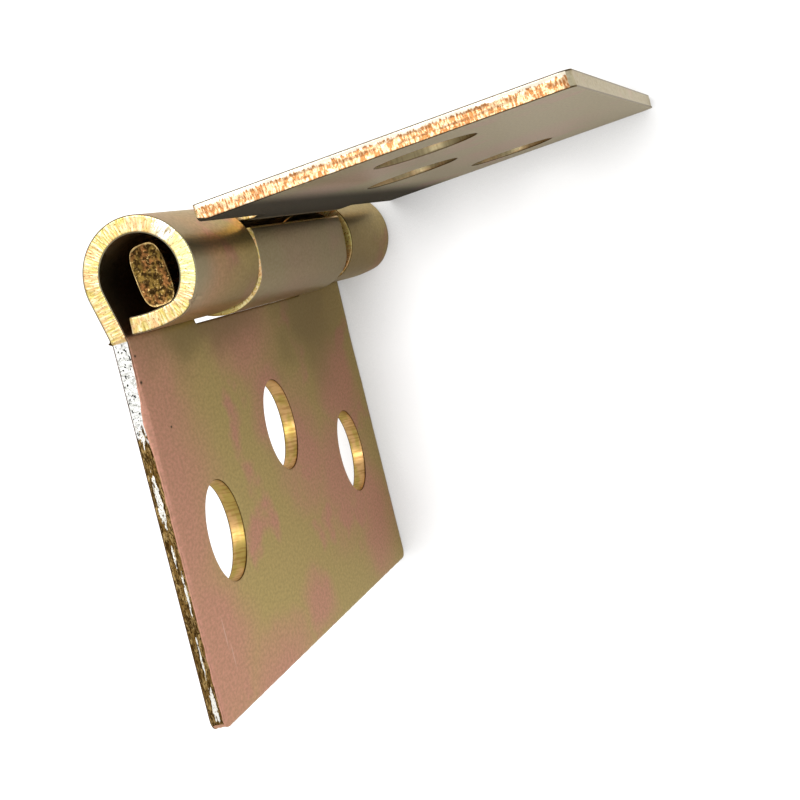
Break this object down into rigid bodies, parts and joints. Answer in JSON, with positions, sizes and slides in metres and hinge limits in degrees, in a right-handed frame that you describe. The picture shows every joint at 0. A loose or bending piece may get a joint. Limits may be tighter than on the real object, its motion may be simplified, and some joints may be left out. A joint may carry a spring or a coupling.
{
  "type": "folding door hinge",
  "caption": "Pressed steel butt hinge with rolled knuckles, a loose pin with pinched ends and plain screw holes set in a zigzag, standing half open on one end.",
  "frame": {"origin": "middle of the footprint's bounding box, on the surface that the hinge stands on, so the pin axis passes through x -12.28 mm, y 11.56 mm", "axes": "+Z along the pin, up from the end it stands on; the fixed leaf runs from the pin to -Y and its inner face looks to +X; the moving leaf runs from the pin towards +X and its inner face looks to -Y"},
  "size_m": [0.032, 0.0338, 0.05],
  "materials": {
    "leaf_plate": "yellow passivated zinc, satin with an iridescent bloom",
    "pin_plate": "yellow passivated zinc, dull and rough at the pinched ends"
  },
  "bodies": {
    "fixed": {"fixed_leaf": "leaf_plate", "pin": "pin_plate"},
    "moving": {"moving_leaf": "leaf_plate"}
  },
  "joints": [
    {"name": "leaf_swing", "type": "hinge", "parent": "fixed", "child": "moving", "pos_m": [-0.01228, 0.01156, 0.025], "axis": [0, 0, 1], "range_deg": [-101.5, 190]}
  ]
}
